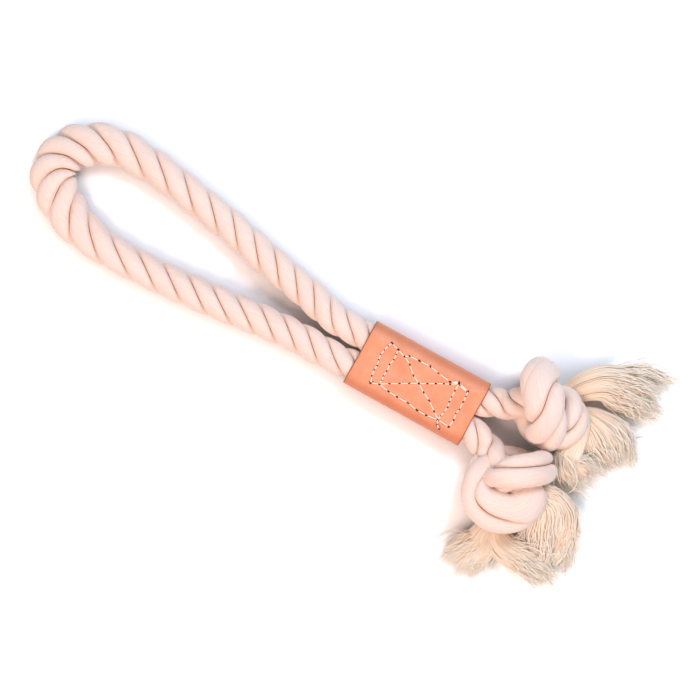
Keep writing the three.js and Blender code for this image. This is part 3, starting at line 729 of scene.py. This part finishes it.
# Yarns that follow a tuft's route: yarn point = route + aside width a + across height b, where (a, b)
# is the yarn's place in a unit disc, drawn part of the way to the middle of its lock towards the end,
# with a slow wave left over from the lay. Each yarn is a thin tube with a tapered end. The yarns lie
# close round a core, the strand's middle not yet combed apart: the same ellipse by coreShares.
def tuft(name, end, rows, count, seed):
    rng = np.random.default_rng(seed)
    rows = np.array(rows) * diameter
    places = knotMiddle(end) * [1, 1, 0] + rows[:, :3]
    route = smoothRoute(places, yarn["routeStep"])
    along, tangent, across, aside, _ = carriedFrames(route)
    shareAlong = along / along[-1]
    rowShare = np.array([shareAlong[np.linalg.norm(route - place, axis=1).argmin()]
                         for place in places])

    def at(values, t):
        return np.stack([np.interp(t, shareAlong, values[:, axis]) for axis in range(3)], -1)

    def sizes(t):
        return [np.interp(t, rowShare, rows[:, column])[..., None] for column in (3, 4)]

    def rise(low, high):
        return smoothRise(t, low, high)[..., None]

    lock = np.arange(yarn["locks"])
    lockAngle = lock * math.pi * (3 - math.sqrt(5))  # golden angle
    lockReach = np.sqrt((lock + 0.5) / yarn["locks"]) * yarn["lockReach"]
    lockPlace = np.stack([np.cos(lockAngle), np.sin(lockAngle)], 1) * lockReach[:, None]
    angle = rng.uniform(0, 2 * math.pi, count)
    disc = np.stack([np.cos(angle), np.sin(angle)], 1) * rng.uniform(*yarn["rootReach"], count)[:, None]
    within = disc * np.sqrt(rng.uniform(0.1, 1, count))[:, None]
    nearest = np.argmin(np.linalg.norm(within[:, None] - lockPlace[None], axis=2), axis=1)
    reach = rng.uniform(*yarn["length"], count)
    reach = reach * rng.uniform(*yarn["lockLength"], yarn["locks"])[nearest]
    t = np.linspace(0, 1, yarn["rings"]) * reach[:, None]
    past = np.clip(t - 1, 0, None)[..., None] * along[-1] * tangent[-1]
    wide, high = sizes(t)
    lockDrift = rng.normal(0, yarn["lockDrift"], (yarn["locks"], 2)) * [1, 0.6]
    opened = rise(0.35, 0.8)
    drawn = yarn["gather"] * rise(0.4, 1)
    placed = disc[:, None] * (1 - opened) + within[:, None] * opened
    placed = placed * (1 - drawn) + lockPlace[nearest][:, None] * drawn
    stray = (rng.uniform(0, 1, (count, 1, 1)) < yarn["stray"]).astype(float)
    drift = rng.normal(0, yarn["drift"], (count, 1, 2))
    drift = drift + stray * rng.normal(0, yarn["strayReach"], (count, 1, 2))
    placed = placed + drift * rise(0.3, 1.1) + lockDrift[nearest][:, None] * rise(0.45, 1.3)
    phase = rng.uniform(0, 2 * math.pi, (count, 1, 3))
    waveLength = rng.uniform(*yarn["waveLength"], (count, 1, 1)) * mm
    wave = np.sin(2 * math.pi * (t * along[-1])[..., None] / waveLength + phase)
    wave = wave * yarn["wave"] * (1 + stray) * rise(0.3, 0.8)
    line = at(route, t) + past + wave + at(aside, t) * placed[..., :1] * wide
    line = line + at(across, t) * placed[..., 1:] * high
    line[..., 2] = np.maximum(line[..., 2], yarn["radius"] * 1.2)
    forward = unit(np.gradient(line, axis=1))
    sideways = unit(np.cross(forward, [0.0, 0.0, 1.0]), 1e-9)
    upward = np.cross(sideways, forward)
    taper = 1 - 0.8 * smoothRise(np.linspace(0, 1, yarn["rings"]), 0.7, 1)
    thick = yarn["radius"] * taper * rng.uniform(*yarn["thickness"], (count, 1))
    thick = thick * (1 - 0.4 * stray[..., 0])
    section = np.array(yarn["section"])
    ring = section[:, :1] * sideways[:, :, None] + section[:, 1:] * upward[:, :, None]
    points = line[:, :, None] + ring * thick[..., None, None]
    tone = rng.uniform(0, 1, (count, 1, 1)) * 0.5 + 0.5 * rise(0.2, 0.9)
    # painted shade at the roots, where little light gets in
    inside = 0.6 * (1 - rise(0.05, 0.4))
    piece = tubesMesh(f"{name}_yarns", points, [cottonYarn], None, {"tone": tone, "inside": inside})
    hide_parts(name)

    shares = np.array(yarn["coreShares"])
    s = np.linspace(0, shares[-1, 0], yarn["coreRings"])[:, None]
    around = roundAngles(yarn["coreSides"])
    swirl = yarn["locks"] * around + 4 * np.sin(3 * s)
    flute = 1 - yarn["flute"] * (1 + np.sin(swirl)) * smoothRise(s, 0, 0.4)
    reach = (np.interp(s, shares[:, 0], shares[:, 1]) * flute)[..., None]
    wide, high = sizes(s)
    points = at(route, s) + at(aside, s) * np.cos(around)[:, None] * reach * wide
    points = points + at(across, s) * np.sin(around)[:, None] * reach * high
    points[..., 2] = np.maximum(points[..., 2], yarn["radius"])
    uv = np.stack(np.broadcast_arrays(s * along[-1], around * rows[:, 3].mean()), -1)
    # the core is painted in shade towards the root
    core = tubesMesh(f"{name}_core", points[None], [cottonYarn], uv[None],
                     {"tone": 0.3, "inside": 0.6 - 0.2 * smoothRise(s, 0.1, 0.6)})
    for part in (piece, core):
        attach(part, "root")
    return [piece, core]


# A yarn that stands off from a tuft: a round tube of the yarn's radius along its route
def looseYarn(name, end):
    places = knotMiddle(end) * [1, 1, 0] + np.array(end["loose"]) * diameter
    route = smoothRoute(places, yarn["routeStep"])
    _, _, across, aside, _ = carriedFrames(route)
    around = roundAngles(yarn["looseSides"])[None, :, None]
    ring = np.cos(around) * across[:, None] + np.sin(around) * aside[:, None]
    piece = tubesMesh(name, (route[:, None] + yarn["radius"] * ring)[None], [cottonYarn], None,
                      {"tone": 1.0, "inside": 0.0})
    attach(piece, "root")
    return piece


tufts = {}
for key, end in ends.items():
    tufts[key] = [looseYarn(f"{key}_loose_yarn", end)]
    for number, rows in enumerate(end["tufts"], 1):
        widest, highest = np.max(rows, axis=0)[3:] * diameter
        yarns = int(yarn["perMillimetre"] * math.sqrt(widest * highest) / mm * 2)
        tufts[key] += tuft(f"{key}_tuft_{number}", end, rows, yarns, 40 + number + 10 * end["side"])
        print("  ", key, number, "yarns", yarns)

for key, (piece, path, length) in tails.items():
    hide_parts(f"{key}_knot")
    fibres = strayFibres(f"{key}_fibres", piece, fuzz["onTail"], 62)
    tuple(path[0])

print("sleeve")

sleeve = {
    "edgeRadius": 9.5 * mm,
    "seamGap": 0.8 * mm,
    "dip": 0.5 * mm,  # the top sinks between the two legs
    "dipReach": 4 * mm,
    "pucker": 0.35 * mm,  # how far each stitch pulls the leather down
    "puckerReach": 1.3 * mm,
    "round": 0.55 * mm,  # rounding of the cut edges
    "step": 0.6 * mm,
    "raised": 0.35 * mm,  # room for the thread underneath
    "curl": 0.07 * mm,  # how far the cut ends wander, over four waves
    "curlReach": 6 * mm,
    "insideFollows": 0.6,  # how far the inside follows the outside's dips
    "sideShadeReach": 9 * mm,  # painted shade this near the long edges, and this strong
    "sideShade": 0.8,
    "endShadeReach": 2.5 * mm,  # and painted shade this near the cut ends
    "endShade": 0.35,
}

# The holes of the sewing in millimetres from the sleeve's middle, run by run, as the thread goes
sewing = [
    [[-23.2, 12.7], [-18.4, 11.1], [-13.4, 9.6], [-11.4, 11.1], [-5.1, 11.5], [1.7, 11.7], [7.4, 10.6],
     [15.4, 9.6], [20.3, 11.1], [26.9, 9.7]],
    [[-22.9, -12.3], [-18.4, -10.6], [-12, -11.7], [-6.4, -12.1], [0.6, -12.1], [7, -13.2],
     [12.8, -13.2], [19.6, -12.1], [26.9, -12.7]],
    [[-23.2, 12.7], [-24.3, 10.4], [-25.1, 7.4], [-25.7, 4.3], [-25.3, 1.1], [-24.4, -2.2],
     [-24.7, -4.9], [-24.3, -8.5], [-22.9, -12.3]],
    [[-18.4, 11.1], [-18.2, 8.5], [-17.9, 5.2], [-18.7, 1.8], [-18.3, -2.4], [-18.5, -5.6], [-18.3, -8],
     [-18.4, -10.6]],
    [[20.3, 11.1], [20.2, 6.4], [20.3, 2.6], [20.5, -0.4], [21.1, -3.6], [20.6, -6.9], [20.1, -9.6],
     [19.6, -12.1]],
    [[26.9, 9.7], [27, 6.7], [27.3, 3.4], [27.4, -1.6], [26.8, -4.2], [27.5, -8.2], [26.9, -12.7]],
    [[-18.4, -10.6], [-13.6, -7.6], [-8.8, -4.9], [-4.1, -2.2], [0.7, 0.3], [4.9, 2.6], [9, 4.9],
     [12.9, 7], [16.1, 8.3], [20.3, 11.1]],
    [[-13.4, 9.6], [-8.8, 7.1], [-4.1, 2.7], [0.7, 0.3], [5.5, -2.8], [10.3, -5.2], [15.7, -9.3],
     [19.6, -12.1]],
    [[19.6, -12.1], [20.6, -14.7], [22.5, -16.3]],
    [[15.8, 9.4], [19.9, 11.9]], [[20.6, 10.4], [26.6, 9.0]], [[-23.6, -11.9], [-22.6, -11.3]],
]
stitchEnds = np.array([[run[i], run[i + 1]] for run in sewing for i in range(len(run) - 1)]) * mm


# Distance in plan from points to the nearest stitch: each stitch is a segment, and the nearest point on
# it lies at the share (point - start) . run / |run|^2, kept between 0 and 1
def distanceToStitches(xy):
    start, run = stitchEnds[:, 0], stitchEnds[:, 1] - stitchEnds[:, 0]
    away = xy[..., None, :] - start
    share = np.clip((away * run).sum(-1) / (run ** 2).sum(-1), 0, 1)
    return np.linalg.norm(away - share[..., None] * run, axis=-1).min(-1)


# Height of the leather's top at a place in plan: flat, less a shallow dip between the legs and a
# pucker beside each stitch
def sleeveTop(xy):
    dip = sleeve["dip"] * np.exp(-(xy[..., 1] / sleeve["dipReach"]) ** 2)
    pucker = sleeve["pucker"] * np.exp(-(distanceToStitches(xy) / sleeve["puckerReach"]) ** 2)
    return sleeveHeight - dip - pucker


# A strip of leather bent round both legs: its section runs from the seam underneath round the outside
# and back inside, quarter circles joined by straights, and is carried along x. The cut edges are
# rounded by drawing in the last rings.
def leatherSleeve():
    halfWidth = (sleeveHigh[1] - sleeveLow[1]) / 2
    thickness = rope["leatherThickness"]

    def outline(inset):
        edge = sleeve["edgeRadius"] - inset
        flat = halfWidth - sleeve["edgeRadius"]
        low, high = sleeve["edgeRadius"], sleeveHeight - sleeve["edgeRadius"]
        quarter = np.linspace(0, math.pi / 2, 15)
        bottom = np.linspace(sleeve["seamGap"] / 2, flat, 16)
        top = np.linspace(flat, -flat, 44)[1:-1]
        rise = [[flat + edge * math.sin(a), low - edge * math.cos(a)] for a in quarter]
        fall = [[flat + edge * math.cos(a), high + edge * math.sin(a)] for a in quarter]
        right = [[y, inset] for y in bottom[:-1]] + rise + fall
        middle = [[y, sleeveHeight - inset] for y in top]
        left = [[-y, z] for y, z in right[::-1]]
        return np.array(right + middle + left)

    outer, innerLine = outline(0), outline(thickness)
    section = np.vstack([outer, innerLine[::-1]])
    centre = np.vstack([(outer + innerLine) / 2, ((outer + innerLine) / 2)[::-1]])
    along = np.linspace(-mouth, mouth, int(rope["sleeveLength"] / sleeve["step"]) + 1)
    tucks = np.array([0, 0.3, 1]) * sleeve["round"]
    x = np.r_[-mouth + tucks, along[1:-1], (mouth - tucks)[::-1]]
    draw = np.r_[1 - np.sqrt(1 - (1 - tucks / sleeve["round"]) ** 2), np.zeros(len(along) - 2)]
    draw = np.r_[draw, draw[2::-1]]
    shrink = draw[:, None, None] * sleeve["round"] * 2 / thickness
    grid = section + (centre - section) * shrink
    sideways, z = grid[..., 0], grid[..., 1]
    rng = np.random.default_rng(5)
    wobble = rng.uniform(0, 2 * math.pi, 4)
    curl = sum(np.sin(sideways / (5 * mm + 3 * mm * i) + wobble[i]) for i in range(4)) * sleeve["curl"]
    atEnd = smoothRise(np.abs(x), mouth - sleeve["curlReach"], mouth)
    xx = x[:, None] + curl * (np.sign(x) * atEnd)[:, None]
    topShare = smoothRise(z, sleeveHeight * 0.55, sleeveHeight * 0.95)
    bottomShare = 1 - smoothRise(z, 0, sleeveHeight * 0.3)
    xy = np.stack([xx, sideways], -1)
    outside = np.r_[np.ones(len(outer)), np.full(len(outer), sleeve["insideFollows"])]
    z = z - (sleeveHeight - sleeveTop(xy)) * topShare * outside
    z = z + sleeve["raised"] * bottomShare
    points = np.stack([xx, sideways, z], -1) + sleeveMiddle
    # painted shade near the long edges and the cut ends
    bent = smoothRise(np.abs(sideways), halfWidth - sleeve["sideShadeReach"], halfWidth)
    end = smoothRise(np.abs(x), mouth - sleeve["endShadeReach"], mouth)[:, None]
    bent = bent * sleeve["sideShade"] + end * sleeve["endShade"]
    piece = tubesMesh("leather_wrap", points[None], [leather, leatherEdge], None,
                      {"bent": np.clip(bent, 0, 1)[None]}, stripEnds=True)
    rings, sides = grid.shape[:2]
    face = np.arange(len(piece.data.polygons))
    ringOf, sideOf = np.minimum(face // sides, rings), face % sides
    edgeSide = (sideOf == len(outer) - 1) | (sideOf == sides - 1)
    cut = (face >= (rings - 1) * sides) | (ringOf < 2) | (ringOf >= rings - 3) | edgeSide
    piece.data.polygons.foreach_set("material_index", cut.astype(np.int32))
    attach(piece, "root")
    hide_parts("leather_sleeve")


leatherSleeve()

print("sewing")

stitch = {
    "radius": 0.34 * mm,
    "rings": 16,
    "sides": 12,
    "plyTurn": 1.9 * mm,  # one turn of a ply round the other
    "proud": 0.35 * mm,
    "dive": 1.1 * mm,
    "holeLength": 0.95 * mm,
    "holeWidth": 0.5 * mm,
    "slitSides": 10,
}


# Stitches on one face: each is a two-ply thread from hole to hole, z = face + proud sin(pi s)^(1/3)
# with both ends diving into the leather. The section has two lobes,
# radius (1 + cos(2 (angle - twist)) / 8).
def stitches(name, spans, faceHeight, facing, proud):
    rng = np.random.default_rng(17)
    s = np.linspace(0, 1, stitch["rings"])
    start, end = spans[:, 0], spans[:, 1]
    inset = rng.uniform(0.1, 0.17, (len(spans), 1))
    share = inset + (1 - 2 * inset) * s
    xy = start[:, None] + (end - start)[:, None] * share[..., None]
    arch = np.sin(math.pi * s) ** (1 / 3)
    rise = proud * arch - stitch["dive"] * (1 - smoothRise(np.sin(math.pi * s), 0, 0.35))
    z = faceHeight(xy) + facing * rise
    line = np.concatenate([xy, z[..., None]], -1)
    forward = unit(np.gradient(line, axis=1))
    aside = unit(np.stack([-forward[..., 1], forward[..., 0], np.zeros_like(z)], -1))
    up = np.cross(forward, aside)
    length = np.linalg.norm(end - start, axis=1)[:, None, None]
    around = roundAngles(stitch["sides"])
    run = length * s[:, None]
    twist = run / stitch["plyTurn"] * 2 * math.pi
    size = stitch["radius"] * (1 + np.cos(2 * (around - twist)) / 8)
    offset = (size * np.cos(around))[..., None] * aside[:, :, None]
    offset = offset + (size * np.sin(around))[..., None] * up[:, :, None]
    points = line[:, :, None] + offset + sleeveMiddle
    uv = np.stack(np.broadcast_arrays(run, (around - twist) * stitch["radius"]), -1)
    piece = tubesMesh(name, points, [thread], uv)
    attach(piece, "root")
    return piece


# Slits that the needle left at the ends of each stitch: thin dark lenses, longer along the stitch, just
# over the leather
def needleSlits(name, spans, faceHeight, facing):
    rng = np.random.default_rng(23)
    places, run = np.concatenate([spans[:, 0], spans[:, 1]]), spans[:, 1] - spans[:, 0]
    placeX, placeY = places[:, 0][:, None, None], places[:, 1][:, None, None]
    direction = np.tile(np.arctan2(run[:, 1], run[:, 0]), 2) + rng.normal(0, 0.25, len(places))
    grown = rng.uniform(0.6, 1.15, (2, len(places), 1, 1))
    around = roundAngles(stitch["slitSides"])
    rings = np.array([[0.2, -0.05], [1.0, -0.05], [0.85, 0.07], [0.2, 0.1]])
    long = stitch["holeLength"] * rings[:, :1] * np.cos(around) * grown[0]
    wide = stitch["holeWidth"] * rings[:, :1] * np.sin(around) * grown[1]
    turnX, turnY = np.cos(direction)[:, None, None], np.sin(direction)[:, None, None]
    x = placeX + long * turnX - wide * turnY
    y = placeY + long * turnY + wide * turnX
    z = faceHeight(places)[:, None, None] + facing * rings[:, 1:] * mm
    points = np.stack(np.broadcast_arrays(x, y, z), -1) + sleeveMiddle
    piece = tubesMesh(name, points, [slit])
    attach(piece, "root")


# Height of the leather's underside, which the thread lies half sunk in
def underside(xy):
    return np.full(xy.shape[:-1], sleeve["raised"])


topThread = stitches("top_stitches", stitchEnds, sleeveTop, 1, stitch["proud"])
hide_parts("sleeve_stitching")
needleSlits("top_needle_slits", stitchEnds, sleeveTop, 1)
underEnds = stitchEnds[:-5]  # the thread's short ends are on top only
stitches("under_stitches", underEnds, underside, -1, 0)
needleSlits("under_needle_slits", underEnds, underside, -1)

print("light and floor")

light = {
    "key": {"colour": "#FFE2D6", "power": 11.1, "size": 0.65, "from": (-0.42, -0.7, 1.15), "away": 1.3},
    "fill": {"colour": "#DAEAFF", "power": 12, "size": 0.65, "from": (0.55, 0.65, 1.1), "away": 1.4},
    "room": {"colour": "#FAFAFF", "strength": 0.37},
    "paper": 0.85,
    "paperSeen": 1.38,
    "cornerReach": 100 * mm,  # how far the paper looks for what stands round a corner
    "cornerOpen": [0.4, 0.74],  # share of the room seen from the darkest and from the first open place
    "cornerShade": 0.55,  # the paper's white under the deepest painted corner shade
    "cornerEnd": [8 * mm, 26 * mm],  # past the knots' middle the painted corner shade fades out, round the tufts
    "floorReach": 6.0,
    "floorDrop": 0.05 * mm,
}


def areaLight(name, setting):
    data = bpy.data.lights.new(name, "AREA")
    data.shape = "DISK"
    data.size = setting["size"]
    data.energy = setting["power"]
    data.color = linearColour(setting["colour"])[:3]
    lamp = addObject(name, data)
    right, up, high = setting["from"]
    towards = imageRight * right + imageUp * up + np.array([0, 0, high])
    towards = towards / np.linalg.norm(towards)
    lamp.location = cameraTarget * [1, 1, 0] + towards * setting["away"]
    pitch = math.acos(towards[2])
    lamp.rotation_euler = (pitch, 0, math.atan2(towards[0], -towards[1]))


areaLight("key_light", light["key"])
areaLight("fill_light", light["fill"])


# 1 for the rays that the eye sees: from the camera, in gloss and through what is clear
def seenByEye(add):
    rays = add("LightPath").outputs
    direct = add("Math", {"operation": "MAXIMUM", 0: rays["Is Camera Ray"], 1: rays["Is Glossy Ray"]})
    return add("Math", {"operation": "MAXIMUM", 0: direct, 1: rays["Is Transmission Ray"]})


world = bpy.data.worlds.new("studio")
world.use_nodes = True
bpy.context.scene.world = world
addToSky = nodeAdder(world.node_tree)
strength = addToSky("MapRange", {"To Min": light["room"]["strength"], "Value": seenByEye(addToSky)})
setNode(world.node_tree.nodes["Background"], {"Color": light["room"]["colour"], "Strength": strength})


# Matt white paper. The camera sees it in a brighter white than it reflects to the toy, so that it is
# white wherever no shadow falls, and keeps the shadows. An occlusion node adds painted shade in the
# corners between two pieces, which fades out past the knots.
def whitePaper():
    material, add = newMaterial("whitePaper")
    nodes = material.node_tree.nodes
    nodes.remove(nodes["Principled BSDF"])
    place = add("TexCoord").outputs["Object"]
    along = add("SeparateXYZ", {0: place}).outputs["X"]
    endLow, endHigh = [knotMiddle(ends["upper"])[0] + past for past in light["cornerEnd"]]
    pastKnots = add("MapRange", {"From Min": endLow, "From Max": endHigh, "Value": along})
    # painted shade: ambient occlusion darkens the paper that the camera sees in corners
    room = add("AmbientOcclusion", {"samples": 12, "Distance": light["cornerReach"]})
    openPaper = add("Math", {"operation": "MAXIMUM", 0: room.outputs["AO"], 1: pastKnots})
    cornered = add("MapRange", {
        "From Min": light["cornerOpen"][0], "From Max": light["cornerOpen"][1], "Value": openPaper,
        "To Min": light["cornerShade"] * light["paperSeen"], "To Max": light["paperSeen"],
    })
    white = add("Mix", {
        "data_type": "RGBA", 0: seenByEye(add), 6: [light["paper"]] * 3 + [1], 7: cornered,
    })
    paper = add("BsdfDiffuse", {"Color": white})
    setNode(nodes["Material Output"], {"Surface": paper})
    return material


edge = light["floorReach"]
floorMesh = bpy.data.meshes.new("floor")
floorMesh.from_pydata([(-edge, -edge, 0), (edge, -edge, 0), (edge, edge, 0), (-edge, edge, 0)], [],
                      [(0, 1, 2, 3)])
floorMesh.materials.append(whitePaper())
floor = addObject("floor", floorMesh)
floor.location.z = -light["floorDrop"]

bpy.context.scene.view_settings.view_transform = "Standard"
